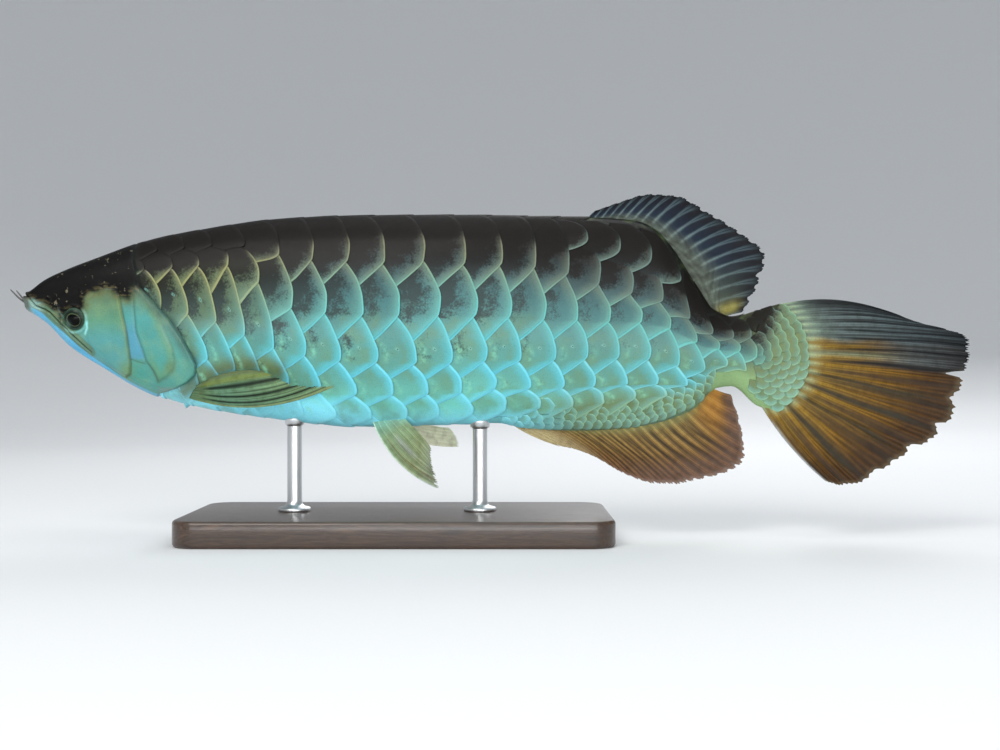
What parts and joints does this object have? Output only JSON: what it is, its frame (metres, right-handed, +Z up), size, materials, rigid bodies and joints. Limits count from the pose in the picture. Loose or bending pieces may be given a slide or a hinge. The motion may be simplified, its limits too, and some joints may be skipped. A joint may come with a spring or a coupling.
{
  "type": "asian arowana display model",
  "caption": "Life-size still model of an adult Asian arowana, level in the water with its tail fin swept down, over a flat base on two short rods.",
  "frame": {"origin": "middle of the underside of the stand's base, on the surface that it stands on", "axes": "+X along the fish towards its tail, so the head points to -X; +Z up; the fish's left side faces -Y"},
  "size_m": [0.5254, 0.112, 0.1913],
  "materials": {
    "scales": "painted resin: dark olive back, turquoise flanks, pale blue belly, each scale rimmed in brighter cyan, wet gloss",
    "head_skin": "painted resin: near-black crown, yellow-green to turquoise cheeks and gill covers, bright blue jaw",
    "eye": "black pupil in a dark green iris under a clear glossy cornea",
    "barbel": "dark, slim and slightly glossy",
    "dark_fin": "blue-black membrane with paler grey-blue rays",
    "warm_fin": "orange-brown membrane with dark streaks and paler rays",
    "pale_fin": "pale olive membrane with dark lines along the rays",
    "stand_wood": "dark stained wood, satin varnish",
    "stand_steel": "brushed"
  },
  "bodies": {
    "root": {"head": "head_skin", "lower_jaw": "head_skin", "gill_cover_left": "head_skin", "gill_cover_right": "head_skin", "eye_left": "eye", "eye_right": "eye", "barbel_left": "barbel", "barbel_right": "barbel", "torso": "scales", "tail": "scales", "dorsal_fin": "dark_fin", "anal_fin": "warm_fin", "caudal_fin": "warm_fin", "pectoral_fin_left": "pale_fin", "pectoral_fin_right": "pale_fin", "pelvic_fin_left": "pale_fin", "pelvic_fin_right": "pale_fin", "stand_base": "stand_wood", "stand_rod_front": "stand_steel", "stand_rod_rear": "stand_steel"}
  },
  "joints": []
}
